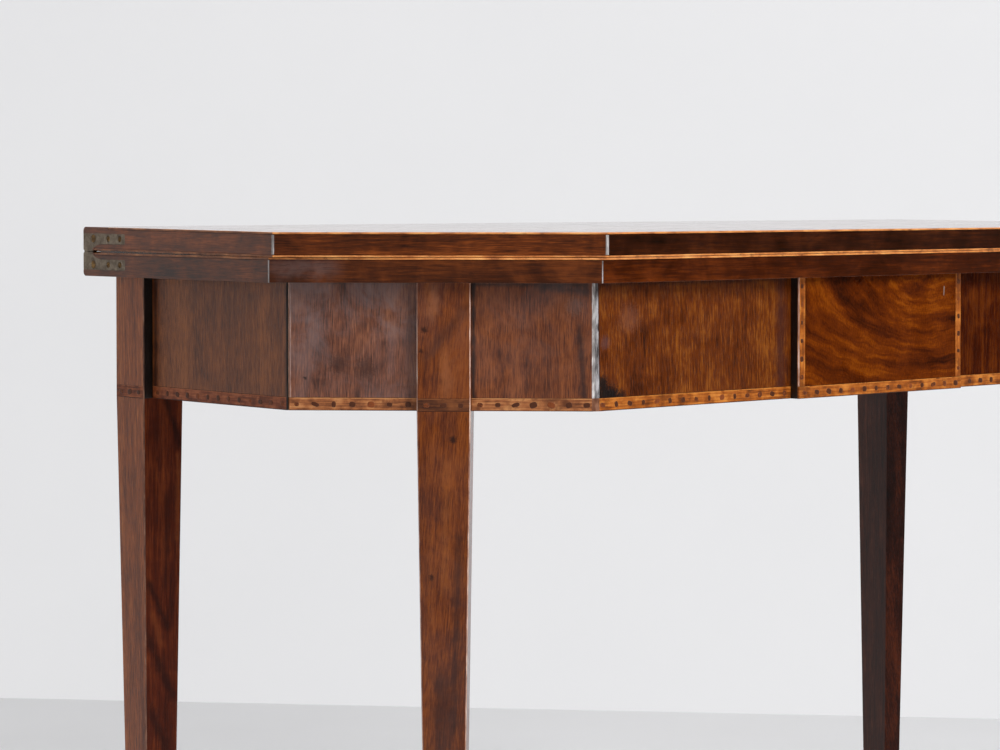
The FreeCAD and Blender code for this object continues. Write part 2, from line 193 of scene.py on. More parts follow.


# Mahogany: one recipe, and a look for each board that the table is made of, some in darker copies as painted
# shade

# how far its lines are drawn out along the grain, and how fine they are
grainStretch = {"upright": (1.0, 1.0, 0.05), "along": (0.05, 1.0, 1.0), "edge": (0.05, 0.05, 1.0)}
poreStretch = {"upright": (1.0, 1.0, 0.16), "along": (0.1, 1.0, 1.0), "edge": (0.1, 0.1, 1.0)}
fleckStretch = {"upright": (1.0, 1.0, 0.075), "along": (0.06, 1.0, 1.0), "edge": (0.05, 0.05, 1.0)}
grainScale = {"drift": 24.0, "streak": 120.0, "fine": 430.0, "pore": 1050.0, "fleck": 1250.0, "cloud": 38.0}
waxHazeAndSheen = {"scale": 24.0, "tone": (120, 100, 98), "heights": (0.615, 0.685), "low": 0.5}
ragged = {"spot": (700.0, 1.4, 1.0, 1.9), "bar": (120.0, 1.6, 0.7, 2.0)}     # noise, its share, rim's reach
boardDefaults = {
    "grain": "upright",
    "tilt": 0.0,
    "offset": (0.0, 0.0, 0.0),
    "tones": ((52, 20, 5), (104, 50, 17), (146, 82, 34)),
    "drift": 0.6,           # broad bands across the board
    "streak": 0.35,         # stripes about a centimetre wide
    "fine": 0.5,            # lines of two millimetres
    "fleck": 0.75,          # fine light and dark flecks
    "dashes": 0.5,          # short dark pores
    "cloud": 0.6,           # blotches that don't follow the grain
    "bloom": 0.0,           # grey haze towards the top: old wax, and painted sheen on the polish
    "rough": 0.34,
    "gloss": 0.5,
    "coat": 0.0,            # polish
    "relief": 0.00016,
    "marks": (),
    "bars": (),
}


def marked(tree, place, colour, marks):
    # knots, dents, spots and a painted highlight: place, radius, tone and strength
    scale, loose, inner, outer = ragged["spot"]
    for spot, radius, spotTone, strength in marks:
        apart = vectors("DISTANCE", place, spot)
        rag = times(noise(place, scale), radius * loose)
        share = spread(calc("ADD", apart, rag), radius * inner, radius * outer, strength, 0.0)
        colour = mixed(tree, share, colour, tone(*spotTone))
    return colour


def barred(tree, place, colour, bars):
    # dark or light bands in the figure, and painted shadows and sheen: both ends, half width, tone and
    # strength
    scale, loose, inner, outer = ragged["bar"]
    for start, end, width, barTone, strength in bars:
        way = Vector(end) - Vector(start)
        length = way.length
        way.normalize()
        offset = vectors("SUBTRACT", place, start)
        aside = vectors("LENGTH", vectors("CROSS_PRODUCT", offset, way))
        rag = times(noise(place, scale, detail=4.0), width * loose)
        share = spread(calc("ADD", aside, rag), width * inner, width * outer, strength, 0.0)
        run = vectors("DOT_PRODUCT", offset, way)
        inside = times(spread(run, -width, width), spread(run, length + width, length - width))
        colour = mixed(tree, times(share, inside), colour, tone(*barTone))
    return colour


def mahogany(name, **changes):
    look = dict(boardDefaults, **changes)
    finish, tree, skin, place = newFinish(name, rough=look["rough"], coat=look["coat"], coatRough=0.08,
                                          gloss=look["gloss"])
    board = mapped(place, location=look["offset"], rotation=(look["tilt"], look["tilt"], 0))
    grain = mapped(board, scale=grainStretch[look["grain"]])
    pores = mapped(board, (3.1, 1.7, 0.4), scale=poreStretch[look["grain"]])
    flecks = mapped(board, (1.3, 2.9, 0.7), scale=fleckStretch[look["grain"]])
    drift = noise(grain, grainScale["drift"], detail=2.0, bend=0.5)
    streak = noise(grain, grainScale["streak"], detail=4.0, rough=0.6, bend=0.3)
    fine = noise(grain, grainScale["fine"], rough=0.65)
    pore = noise(pores, grainScale["pore"], detail=2.0)
    fleck = noise(flecks, grainScale["fleck"])
    cloud = noise(board, grainScale["cloud"], detail=4.0, rough=0.62, bend=0.6)
    value = summed([(drift, look["drift"]), (streak, look["streak"]), (fine, look["fine"]),
                    (fleck, look["fleck"]), (cloud, look["cloud"])])
    colour = ramp(value, (0.2, 0.5, 0.8), look["tones"])
    colour = barred(tree, place, colour, look["bars"])
    dash = spread(pore, 0.54, 0.68)
    darker = mixed(tree, 0.62, colour, tone(*look["tones"][0]))
    colour = mixed(tree, times(dash, look["dashes"]), colour, darker)
    # grey haze towards the top: old wax and painted sheen
    if look["bloom"] > 0:
        haze = noise(board, waxHazeAndSheen["scale"], detail=6.0, rough=0.66, bend=0.8)
        upper = spread(levelOf(place), *waxHazeAndSheen["heights"], waxHazeAndSheen["low"], 1.0)
        haze = times(spread(haze, 0.34, 0.66), upper)
        colour = mixed(tree, times(haze, look["bloom"]), colour, tone(*waxHazeAndSheen["tone"]))
    colour = marked(tree, place, colour, look["marks"])
    feed(skin, colour)
    dull = calc("ADD", cloud, times(dash, 0.3))
    dull = spread(dull, 0.3, 0.9, look["rough"] - 0.06, look["rough"] + 0.14, "LINEAR")
    feed(skin, dull, "Roughness")
    bumped(skin, summed([(fine, 0.5), (cloud, 0.9), (dash, -0.45)]), look["relief"])
    return finish


# Field of the tablet: strokes that sweep round a point near its upper right corner

flame = {
    "middle": (0.064, 0.0, 0.700),
    "squash": (0.46, 0.0, 1.0),
    "tones": ((36, 10, 1), (70, 25, 1), (94, 38, 1), (128, 62, 4)),
    "smear": ((0.0788, -0.2103, 0.6850), (0.0784, -0.2103, 0.6775), 0.0008, (150, 140, 132), 0.7),
    "sway": 0.014,
    # how fine across and along the sweep, shift and weight
    "strokes": ((70.0, 0.9, 0.3, 1.2), (230.0, 2.2, 4.7, 0.5), (800.0, 7.0, 8.1, 0.3)),
    "rough": 0.3,
}


def flameVeneer(name):
    finish, tree, skin, place = newFinish(name, rough=flame["rough"], gloss=0.08)
    offset = vectors("SUBTRACT", place, flame["middle"])
    offset = vectors("MULTIPLY", offset, flame["squash"])
    parts = put(tree, "ShaderNodeSeparateXYZ", {0: offset})
    reach = vectors("LENGTH", offset)
    angle = calc("ARCTAN2", parts.outputs[2], parts.outputs[0])
    sway = noise(place, 26.0, detail=2.0)
    reach = calc("ADD", reach, times(sway, flame["sway"]))
    layers = []
    for across, along, shift, weight in flame["strokes"]:
        out = times(reach, across)
        spot = combined(tree, X=out, Y=times(angle, along), Z=shift)
        layers.append((noise(spot, 1.0, detail=2.0, rough=0.6), weight))
    fibre = noise(mapped(place, scale=(1.0, 1.0, 0.4)), 1100.0, detail=2.0)
    cloud = noise(place, 24.0, bend=0.5)
    value = summed(layers + [(cloud, 0.45), (fibre, 0.4)])
    colour = ramp(value, (0.22, 0.42, 0.58, 0.8), flame["tones"])
    colour = barred(tree, place, colour, [flame["smear"]])
    feed(skin, colour)
    dull = spread(cloud, 0.3, 0.8, flame["rough"] - 0.05, flame["rough"] + 0.1, "LINEAR")
    feed(skin, dull, "Roughness")
    bumped(skin, summed([(fibre, 0.4), (cloud, 1.0)]), 0.00012)
    return finish


# Banding, boxwood lines, metals, worn edges, some pale as painted highlight

banding = {
    "filling": ((96, 46, 10), (158, 84, 24), (200, 126, 52)),
    "legFilling": ((60, 28, 12), (98, 52, 24), (128, 74, 38)),
    "endFilling": ((78, 34, 15), (124, 62, 32), (158, 90, 54)),
    "cantFilling": ((96, 52, 28), (156, 94, 54), (196, 136, 84)),
    "rim": (58, 28, 14),
    "lineHeight": 0.0009,
    "rimHeight": 0.0007,
    "seamHeight": 0.0003,
    "dotPitch": 0.0142,
    "dotSize": (0.0021, 0.0002, 0.0019),
    "sideDotSize": (0.0015, 0.0002, 0.0018),
    "dotDrop": 0.0003,
    "dotLean": 0.35,
    "dotScales": ((0.62, 1.0, 0.7), (1.3, 1.0, 1.1)),
    "dotTones": ((74, 36, 15), (126, 62, 25)),
}


def bandingFinish(name, filling, level=True):
    # streaky filling, in level strips also a light line and a dark seam above and a dark rim below
    finish, tree, skin, place = newFinish(name, rough=0.38, gloss=0.3)
    along = grainStretch["edge" if level else "upright"]
    streak = noise(mapped(place, scale=along), 640.0, detail=4.0, rough=0.6)
    patch = noise(place, 95.0, detail=4.0)
    value = summed([(streak, 1.0), (patch, 0.9)])
    colour = ramp(value, (0.28, 0.5, 0.74), filling)
    if level:
        low, high = bandLow[2], bandHigh[2]
        height = levelOf(place)
        worn = spread(noise(place, 140.0, detail=2.0), 0.35, 0.5)
        top = spread(height, high - banding["lineHeight"], high - banding["lineHeight"] * 0.8)
        colour = mixed(tree, times(top, worn), colour, tone(*filling[2]))
        seam = spread(height, high - banding["seamHeight"], high - banding["seamHeight"] * 2 / 3)
        colour = mixed(tree, seam, colour, tone(*banding["rim"]))
        rim = spread(height, low + banding["rimHeight"], low + banding["rimHeight"] * 0.6)
        colour = mixed(tree, rim, colour, tone(*banding["rim"]))
    dirt = spread(noise(place, 70.0, detail=5.0, rough=0.65), 0.5, 0.68, 0.0, 0.75)
    colour = mixed(tree, dirt, colour, tone(*filling[0]))
    feed(skin, colour)
    bumped(skin, value, 0.00012)
    return finish


def dotFinish(name):
    finish, tree, skin, place = newFinish(name, rough=0.4, gloss=0.3)
    share = put(tree, "ShaderNodeAttribute", attribute_name="dotTone").outputs["Fac"]
    speck = noise(place, 900.0)
    share = spread(summed([(share, 0.9), (speck, 1.2)]), 0.45, 1.0)
    feed(skin, mixed(tree, share, *[tone(*t) for t in banding["dotTones"]]))
    return finish


gapTone = (70, 32, 13)          # where the line is gone
crackTone = (28, 24, 22)


def boxwood(name, tones):
    finish, tree, skin, place = newFinish(name, rough=0.36)
    run = noise(mapped(place, scale=(0.1, 0.1, 1.0)), 500.0, detail=4.0)
    patch = noise(place, 60.0, detail=5.0, rough=0.65)
    value = summed([(run, 0.8), (patch, 1.2)])
    colour = ramp(value, (0.26, 0.5, 0.76), tones)
    gap = spread(noise(place, 170.0), 0.6, 0.68, 0.0, 0.45)
    feed(skin, mixed(tree, gap, colour, tone(*gapTone)))
    bumped(skin, value, 0.0001)
    return finish


def dulledMetal(name, tones, rough, metal):
    finish, _, skin, place = newFinish(name, rough=rough, metal=metal)
    blotch = noise(place, 150.0, detail=5.0, rough=0.6, bend=0.6)
    grit = noise(place, 1500.0)
    value = summed([(blotch, 1.0), (grit, 0.35)])
    feed(skin, ramp(value, (0.28, 0.5, 0.76), tones))
    feed(skin, spread(value, 0.25, 0.8, rough + 0.12, rough - 0.08, "LINEAR"), "Roughness")
    bumped(skin, grit, 0.00004)
    return finish


def carcaseWood(name, grain):
    return mahogany(name, grain=grain, tones=((92, 58, 30), (148, 104, 62), (184, 142, 94)), rough=0.62,
                    offset=(0.7, 0.3, 0.2), dashes=0.3, relief=0.0003)


def wornEdge(name, tones, rough, crack=0.0):
    finish, tree, skin, place = newFinish(name, rough=rough, coat=0.4, coatRough=0.15)
    patch = noise(mapped(place, scale=(1.0, 1.0, 0.25)), 240.0, detail=4.0, rough=0.6)
    colour = ramp(patch, (0.34, 0.5, 0.66), tones)
    if crack > 0:
        split = noise(mapped(place, scale=(1.0, 1.0, 0.12)), 700.0, detail=4.0)
        colour = mixed(tree, spread(split, 0.58, 0.66, 0.0, crack), colour, tone(*crackTone))
    feed(skin, colour)
    bumped(skin, patch, 0.0002)
    return finish


# edges of the leaves: one figure for each side, in the tones of each leaf
leafEdge = {"grain": "edge", "relief": 0.00005}
endEdge = dict(leafEdge, offset=(0.11, 0.42, 0.05), cloud=0.8, gloss=0.65, streak=0.3)
cantEdge = dict(leafEdge, offset=(0.31, 0.22, 0.05), cloud=0.7, gloss=0.18)
frontEdge = dict(leafEdge, offset=(0.61, 0.42, 0.35), cloud=0.7, gloss=0.1, fleck=0.45)
boardLooks = {
    "leafTop": {"grain": "along", "offset": (0.31, 0.12, 0.2), "rough": 0.24, "coat": 0.85, "relief": 0.00002,
        "drift": 0.8, "streak": 0.7, "fine": 0.6, "fleck": 0.45, "cloud": 0.35,
        "tones": ((50, 18, 5), (98, 44, 16), (138, 74, 32))},
    "flapEnd": dict(endEdge, tones=((46, 20, 7), (100, 47, 13), (145, 75, 31))),
    "fixedEnd": dict(endEdge, tones=((42, 18, 6), (90, 42, 12), (132, 68, 28))),
    "flapCant": dict(cantEdge, fleck=0.85, tones=((35, 12, 2), (84, 37, 8), (134, 66, 21))),
    "fixedCant": dict(cantEdge, fleck=0.55, tones=((28, 9, 2), (66, 28, 6), (107, 52, 16)), bars=[
        # grey veil near the corner: painted sheen
        ((-0.505, -0.0408, 0.708), (-0.47, -0.0758, 0.708), 0.011, (98, 76, 72), 0.6),
        ((-0.4735, -0.0723, 0.7), (-0.4735, -0.0723, 0.718), 0.0005, (156, 120, 98), 0.6)]),
    "flapFront": dict(frontEdge, tones=((18, 6, 1), (46, 17, 3), (78, 35, 8))),
    "fixedFront": dict(frontEdge, tones=((24, 7, 1), (59, 21, 2), (100, 43, 6))),
    "flank": {"offset": (0.2, 0.1, 0.3), "tilt": 0.03, "tones": ((46, 16, 2), (96, 42, 5), (142, 80, 20)),
        "gloss": 0.2, "streak": 0.25, "fleck": 0.9,
        "bars": [
            # painted shadow under the leaf along the top
            ((-0.3165, -0.2018, 0.6945), (-0.1035, -0.2018, 0.6945), 0.003, (34, 12, 5), 0.6),
            ((-0.1135, -0.2018, 0.6), (-0.1135, -0.2018, 0.7), 0.009, (62, 32, 27), 0.75),
            ((-0.3142, -0.2018, 0.606), (-0.3158, -0.2018, 0.7), 0.0006, (20, 14, 12), 0.9)],
        "marks": [
            # pale smudge: painted highlight
            ((-0.283, -0.2018, 0.668), 0.013, (130, 88, 72), 0.22),
            ((-0.3085, -0.2018, 0.65), 0.006, (92, 72, 78), 0.28),
            ((-0.3095, -0.2018, 0.6105), 0.011, (16, 12, 11), 0.95),
            ((-0.3115, -0.2018, 0.6195), 0.007, (18, 14, 12), 0.9),
            ((-0.301, -0.2018, 0.61), 0.009, (16, 12, 11), 0.95),
            ((-0.292, -0.2018, 0.6085), 0.006, (20, 14, 12), 0.85)]},
    "flankRight": {"offset": (0.8, 0.4, 0.1), "gloss": 0.04, "fleck": 0.45,
        "tones": ((24, 6, 1), (58, 17, 1), (102, 46, 6))},
    "cantRear": {"offset": (0.52, 0.33, 0.1), "bloom": 0.72, "fleck": 1.2,
        "tones": ((50, 24, 15), (104, 57, 37), (142, 88, 58)),
        "bars": [
            # painted shadow under the leaf along the top
            ((-0.485, -0.0354, 0.6955), (-0.414, -0.1064, 0.6955), 0.0016, (34, 22, 20), 0.7),
            # pale line at the corner: worn arris and painted highlight
            ((-0.4833, -0.0371, 0.606), (-0.4833, -0.0371, 0.694), 0.0005, (190, 158, 146), 0.75)],
        "marks": [
            ((-0.4754, -0.045, 0.6227), 0.0016, (20, 12, 10), 0.9),
            ((-0.4575, -0.0629, 0.6335), 0.008, (52, 22, 12), 0.6),
            ((-0.4423, -0.078, 0.6305), 0.009, (50, 22, 12), 0.6)]},
    "cantFront": {"offset": (0.12, 0.83, 0.4), "bloom": 0.18, "gloss": 0.4, "fleck": 1.1,
        "tones": ((46, 19, 8), (100, 49, 21), (136, 75, 36)),
        "marks": [
            ((-0.3302, -0.1901, 0.678), 0.008, (118, 98, 92), 0.28)],
        "bars": [
            ((-0.3275, -0.1929, 0.664), (-0.3245, -0.1959, 0.604), 0.0042, (34, 13, 10), 0.85),
            # painted shadow under the leaf along the top, and a darker patch at its right end
            ((-0.385, -0.1354, 0.6945), (-0.322, -0.1984, 0.6945), 0.003, (26, 18, 17), 0.75),
            ((-0.35, -0.1704, 0.6925), (-0.322, -0.1984, 0.689), 0.0045, (28, 21, 21), 0.75),
            # painted shadow of the front leg beside it, with some dirt
            ((-0.3843, -0.1361, 0.6), (-0.3843, -0.1361, 0.7), 0.0022, (16, 11, 10), 0.9)]},
    "end": {"offset": (0.9, 0.7, 0.4), "tones": ((68, 31, 12), (112, 59, 24), (142, 82, 38)), "fleck": 1.1,
        "bars": [
            # dark red strip beside the back leg: painted shade
            ((-0.485, 0.1385, 0.6), (-0.485, 0.1385, 0.7), 0.0035, (34, 8, 5), 0.85),
            # painted shadow under the leaf along the top
            ((-0.485, 0.14, 0.6955), (-0.485, -0.035, 0.6955), 0.0016, (34, 20, 14), 0.6),
            ((-0.485, -0.0328, 0.6), (-0.485, -0.0328, 0.7), 0.0008, (28, 15, 10), 0.8)]},
    "frontLeg": {"offset": (0.05, 0.6, 0.7), "tilt": -0.05,
        "tones": ((35, 11, 1), (85, 35, 5), (128, 64, 16)), "drift": 0.8, "streak": 0.4,
        "fleck": 0.75, "dashes": 0.45, "cloud": 0.5, "gloss": 0.1, "coat": 0.4, "bloom": 0.12,
        "bars": [
            ((-0.4117, -0.1203, 0.694), (-0.4117, -0.1203, 0.668), 0.007, (150, 92, 58), 0.62),
            ((-0.4046, -0.1274, 0.646), (-0.4046, -0.1274, 0.608), 0.007, (150, 88, 48), 0.55),
            ((-0.39, -0.142, 0.684), (-0.4168, -0.1152, 0.6357), 0.007, (56, 25, 12), 0.55),
            ((-0.4036, -0.1273, 0.56), (-0.4037, -0.1247, 0.46), 0.0045, (156, 88, 36), 0.3),
            ((-0.4112, -0.1171, 0.505), (-0.4098, -0.1165, 0.435), 0.0035, (150, 82, 32), 0.3),
            ((-0.3962, -0.1328, 0.505), (-0.397, -0.1277, 0.35), 0.0045, (44, 17, 8), 0.7),
            ((-0.4044, -0.1212, 0.4), (-0.4028, -0.1196, 0.3), 0.011, (56, 25, 13), 0.7)],
        "marks": [
            ((-0.4163, -0.1157, 0.66), 0.0028, (40, 18, 9), 0.85),
            ((-0.4179, -0.1141, 0.644), 0.0022, (44, 18, 9), 0.8),
            ((-0.4007, -0.1313, 0.5766), 0.0036, (34, 15, 8), 0.85),
            ((-0.4112, -0.1182, 0.4714), 0.003, (40, 16, 8), 0.85)]},
    "gateLeg": {"offset": (0.44, 0.9, 0.2), "gloss": 0.55, "drift": 0.8, "fine": 0.8, "fleck": 0.8,
        "cloud": 0.3, "tones": ((75, 34, 14), (136, 70, 31), (180, 111, 60))},
    # darker copy of the back leg's wood for its front face: painted shade under the table
    "gateLegFront": {"offset": (0.34, 0.9, 0.7), "gloss": 0.12, "drift": 1.2, "fine": 0.7, "fleck": 0.35,
        "cloud": 0.3, "tones": ((34, 10, 4), (76, 27, 10), (124, 58, 24)),
        "bars": [
            ((-0.459, 0.1448, 0.552), (-0.46, 0.1455, 0.48), 0.003, (128, 66, 32), 0.5),
            ((-0.484, 0.1464, 0.425), (-0.474, 0.1468, 0.395), 0.004, (122, 62, 30), 0.45),
            ((-0.4725, 0.144, 0.6), (-0.456, 0.1447, 0.556), 0.0045, (32, 10, 6), 0.75),
            ((-0.47, 0.145, 0.52), (-0.471, 0.1458, 0.44), 0.005, (38, 12, 7), 0.5),
            ((-0.488, 0.146, 0.45), (-0.468, 0.1466, 0.408), 0.005, (32, 10, 6), 0.75),
            ((-0.492, 0.1468, 0.412), (-0.462, 0.1475, 0.35), 0.0055, (32, 10, 6), 0.75),
            ((-0.486, 0.1472, 0.345), (-0.464, 0.148, 0.3), 0.006, (34, 11, 6), 0.7)]},
    # darker copies for the right back leg, behind the table: painted shade
    "gateLegRight": {"offset": (0.74, 0.1, 0.5), "gloss": 0.4, "fine": 0.7, "fleck": 0.4, "cloud": 0.3,
        "tones": ((26, 12, 8), (58, 27, 17), (94, 50, 32))},
    "gateLegDark": {"offset": (0.24, 0.6, 0.1), "tilt": 0.2, "gloss": 0.05, "drift": 1.0, "fine": 0.7,
        "fleck": 0.4, "cloud": 0.3, "tones": ((20, 6, 3), (48, 17, 7), (92, 40, 17))},
    # near black: painted shade on the tablet's returns and on a back leg's front beside the end panel, and
    # dark joints at the seams of the end
    "edgeBlack": {"offset": (0.1, 0.2, 0.9), "tones": ((8, 6, 5), (18, 13, 11), (34, 26, 22)), "dashes": 0.2},
}
finishes = {name: mahogany(name, **look) for name, look in boardLooks.items()}
bandLow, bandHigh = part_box("tablet_banding")
finishes.update({
    "flame": flameVeneer("flameVeneer"),
    "boxwood": boxwood("boxwoodLine", ((152, 86, 38), (204, 128, 64), (228, 162, 92))),
    "boxwoodEnd": boxwood("boxwoodDull", ((84, 44, 22), (128, 76, 42), (176, 116, 70))),
    "dots": dotFinish("bandingDots"),
    "brass": dulledMetal("dulledBrass", ((86, 74, 60), (118, 104, 88), (150, 136, 116)), 0.5, 0.5),
    "screwBrass": dulledMetal("screwBrass", ((70, 46, 22), (118, 86, 44), (186, 146, 80)), 0.4, 0.6),
    "iron": dulledMetal("darkIron", ((22, 18, 15), (52, 46, 42), (92, 84, 78)), 0.5, 0.85),
    "railWood": carcaseWood("carcaseAlong", "along"),
    "blockWood": carcaseWood("carcaseUpright", "upright"),
    "wornBrown": wornEdge("wornArris", ((70, 36, 20), (106, 64, 42), (146, 102, 78)), 0.28),
    # pale worn edges: wear, and painted highlight along arrises and corners
    "wornPink": wornEdge("wornPink", ((128, 84, 64), (178, 136, 116), (214, 184, 168)), 0.3),
    "wornWhite": wornEdge("wornWhite", ((100, 94, 92), (150, 144, 142), (214, 210, 208)), 0.22),
    "wornGrey": wornEdge("wornGrey", ((56, 52, 52), (122, 118, 119), (184, 182, 184)), 0.24, 0.9),
    "banding": bandingFinish("chequerBanding", banding["filling"]),
    "legBanding": bandingFinish("chequerLeg", banding["legFilling"]),
    "endBanding": bandingFinish("chequerEnd", banding["endFilling"]),
    "cantBanding": bandingFinish("chequerCant", banding["cantFilling"]),
    "sideBanding": bandingFinish("chequerUpright", banding["filling"], level=False),
})
print("finishes made,", len(finishes))


# Pieces that take the place of CAD nodes

def camel(node):
    words = node.split("_")
    return words[0] + "".join(w.capitalize() for w in words[1:])


def both(name):
    return ["left_" + name, "right_" + name]


planReach = 0.00005         # what counts as one place in the plan


def mergedCopy(node):
    # the node's triangles joined up, with flat faces made whole
    shape = bmesh.new()
    shape.from_mesh(nodes[node].data)
    bmesh.ops.remove_doubles(shape, verts=shape.verts, dist=1e-6)
    bmesh.ops.dissolve_limit(shape, angle_limit=math.radians(0.6), verts=shape.verts, edges=shape.edges)
    for face in shape.faces:
        face.material_index = 0
        face.smooth = False
    return shape


def sharpEdges(shape, degrees=25):
    limit = math.radians(degrees)
    return [e for e in shape.edges if len(e.link_faces) == 2 and e.calc_face_angle(0) > limit]


def uprightAt(shape, x, y):
    # upright edges at one corner of the plan
    def near(v):
        return abs(v.co.x - x) < planReach and abs(v.co.y - y) < planReach
    return [e for e in shape.edges if all(near(v) for v in e.verts)]


def eased(shape, edges, width, steps=1, slot=0):
    made = bmesh.ops.bevel(shape, geom=edges, offset=width, offset_type="OFFSET", segments=steps, profile=0.5,
                           affect="EDGES", clamp_overlap=True, material=slot)
    for face in made["faces"]:
        face.smooth = steps > 1


def smoothRound(shape, degrees=25):
    limit = math.radians(degrees)
    for face in shape.faces:
        face.smooth = True
    for edge in shape.edges:
        edge.smooth = len(edge.link_faces) == 2 and edge.calc_face_angle(0) < limit


def sliced(shape, point, normal):
    bmesh.ops.bisect_plane(shape, geom=shape.verts[:] + shape.edges[:] + shape.faces[:], dist=1e-7,
                           plane_co=point, plane_no=normal)


def linked(name, data):
    item = bpy.data.objects.new(name, data)
    scene.collection.objects.link(item)
    return item


def meshOf(name, shape, materials):
    mesh = bpy.data.meshes.new(name)
    shape.to_mesh(mesh)
    shape.free()
    for material in materials:
        mesh.materials.append(material)
    return mesh


def takePlace(piece, node):
    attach(piece, nodes[node]["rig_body"])
    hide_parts(node)


def standIn(node, shape, slots):
    name = camel(node)
    takePlace(linked(name, meshOf(name, shape, [finishes[slot] for slot in slots])), node)


def crisp(node, finish, width):
    # the node's own shape with its arrises just broken
    shape = mergedCopy(node)
    eased(shape, sharpEdges(shape), width)
    standIn(node, shape, [finish])


# Leaves: long grain on the faces, edges of their own, corners rubbed round, pale as wear and painted
# highlight

leaf = {
    "arris": 0.0007,
    "corner": {"flap_leaf": (0.0012, 0.0013), "fixed_leaf": (0.0006, 0.0005)},   # at the end, at the front
    "cornerHeight": 0.012,      # shorter upright edges stay sharp
    "cornerReach": 0.02,
    "footReach": 0.0001,
    "return": 0.2525,           # straight end, then the run of the canted corner
    "cant": 0.179,
    "gap": 0.0022,              # between the leaves at the back
    "sag": 0.0008,              # old bend of the flap, so that it rests on the fixed leaf at the corners
    "shut": 0.0003,             # and in front of them
    "field": (0.004, 0.016),    # inset of the inner field, along the ends and beside the hinges
    "fieldBack": 0.001,
    "fieldPlay": 0.0001,
    "fieldSink": 0.0003,
}
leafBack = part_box("fixed_leaf")[1][1]
leafTurn = leafBack - leaf["return"]


def sagged(shape):
    for v in shape.verts:
        run = (leafBack - v.co.y) / leaf["return"]
        v.co.z -= leaf["sag"] * (run if run < 1 else 1 - (leafTurn - v.co.y) / leaf["cant"])


def edgeLooks(node):
    # finishes of the end, the canted and the front edge of that leaf
    return [node.split("_")[0] + facing for facing in ("End", "Cant", "Front")]


def edgeSlot(face):
    # which of these three the face gets, by where it looks
    across = abs(face.normal.x)
    return 1 if across > 0.9 else 2 if across > 0.4 else 3


def makeLeaf(node):
    shape = mergedCopy(node)
    for face in shape.faces:
        if abs(face.normal.z) < 0.5:
            face.material_index = edgeSlot(face)
    corners = [e for e in sharpEdges(shape) if abs((e.verts[0].co - e.verts[1].co).normalized().z) > 0.9
               and e.calc_length() > leaf["cornerHeight"] and e.calc_face_angle(0) < math.radians(60)]
    atEnd = [e for e in corners if e.verts[0].co.y > leafTurn - leaf["cornerReach"]]
    endRub, frontRub = leaf["corner"][node]
    eased(shape, [e for e in corners if e not in atEnd], frontRub, 3, 5)
    eased(shape, [e for e in atEnd if e.is_valid], endRub, 3, 5)
    # only the lowest arris, the others carry the light lines
    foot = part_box("fixed_leaf")[0][2] + leaf["footReach"]
    lowest = [e for e in sharpEdges(shape, 60) if max(v.co.z for v in e.verts) < foot]
    eased(shape, lowest, leaf["arris"], 2, 4)
    if node == "flap_leaf":
        sliced(shape, (0, leafTurn, 0), (0, 1, 0))
        sagged(shape)
    standIn(node, shape, ["leafTop"] + edgeLooks(node) + ["wornBrown", "wornWhite"])


for node in ("flap_leaf", "fixed_leaf"):
    makeLeaf(node)

# lines in the arrises: light outside, stained like the edge on the inner part
lines = {"light": 0.0014, "arris": 0.0005}
for node in ("flap_upper_stringing", "flap_lower_stringing", "fixed_leaf_stringing"):
    shape = mergedCopy(node)
    upper = 1 if node == "flap_lower_stringing" else -1
    lean = (leaf["gap"] - leaf["shut"]) / (leaf["return"] + leaf["cant"]) if node.startswith("flap") else 0.0
    rest = [v.co.z - lean * v.co.y for v in shape.verts]
    level = (min(rest) if upper > 0 else max(rest)) + upper * lines["light"]
    sliced(shape, (0, 0, level), (0, -lean, 1))
    eased(shape, sharpEdges(shape, 60), lines["arris"], 2)
    for face in shape.faces:
        middle = face.calc_center_median()
        if upper * (middle.z - lean * middle.y - level) > 0:
            face.material_index = edgeSlot(face)
        elif abs(face.normal.x) > 0.5 and abs(face.normal.y) < 0.2:
            face.material_index = 4
    if node.startswith("flap"):
        sagged(shape)
    standIn(node, shape, ["boxwood"] + edgeLooks(node) + ["boxwoodEnd"])


def innerField(name, node, flapSide):
    # thin veneered wedge on a leaf's inner face, thickest at the back where the leaves stand apart
    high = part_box("fixed_leaf")[1]
    top, back = high[2], leafBack - leaf["fieldBack"]
    wide, narrow = (high[0] - inset for inset in leaf["field"])
    step = leafBack - leaf["field"][1]
    half = [(narrow, back), (narrow, step), (wide, step), (wide, leafTurn)]
    outline = [(-x, y) for x, y in half] + half[::-1]
    under, over = [], []
    for x, y in outline:
        share = (leafBack - y) / leaf["return"]
        gap = leaf["gap"] * (1 - share) + leaf["shut"] * share
        thick = 0.5 * gap - leaf["fieldPlay"]
        under.append((x, y, top + gap - thick if flapSide else top - leaf["fieldSink"]))
        over.append((x, y, top + gap + leaf["fieldSink"] if flapSide else top + thick))
    count = len(outline)
    walls = [(i, (i + 1) % count, count + (i + 1) % count, count + i) for i in range(count)]
    mesh = bpy.data.meshes.new(name)
    mesh.from_pydata(under + over, [], walls + [tuple(range(count))[::-1], tuple(range(count, 2 * count))])
    mesh.materials.append(finishes["leafTop"])
    piece = linked(name, mesh)
    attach(piece, nodes[node]["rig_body"])


innerField("fixedInnerField", "fixed_leaf", False)
innerField("flapInnerField", "flap_leaf", True)
print("leaves made")


# Frieze: veneers and banding, rubbed through at the corner between front and cant, the strip pale as wear and
# painted highlight

frieze = {
    "arris": 0.00018,
    "seam": {"end": 0.0013, "canted": 0.0019},
    "wornCant": 0.0029,              # how far the worn strip reaches on the canted facet
    "wornFront": (0.0040, 0.0022),   # and on the front, at the bottom and at the top
    "inward": (0.3827, 0.9239),      # square to the worn strip, half way between front and cant
}
friezeLow, friezeHigh = bandLow[2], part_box("tablet_veneer")[1][2]


def planCorner(node, kind):
    # outer corner of the plan at the end of the straight end, or of the front
    low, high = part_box(node.split("_")[0] + "_" + kind)
    return Vector((low[0] if node.startswith("left") else high[0], low[1], friezeLow))


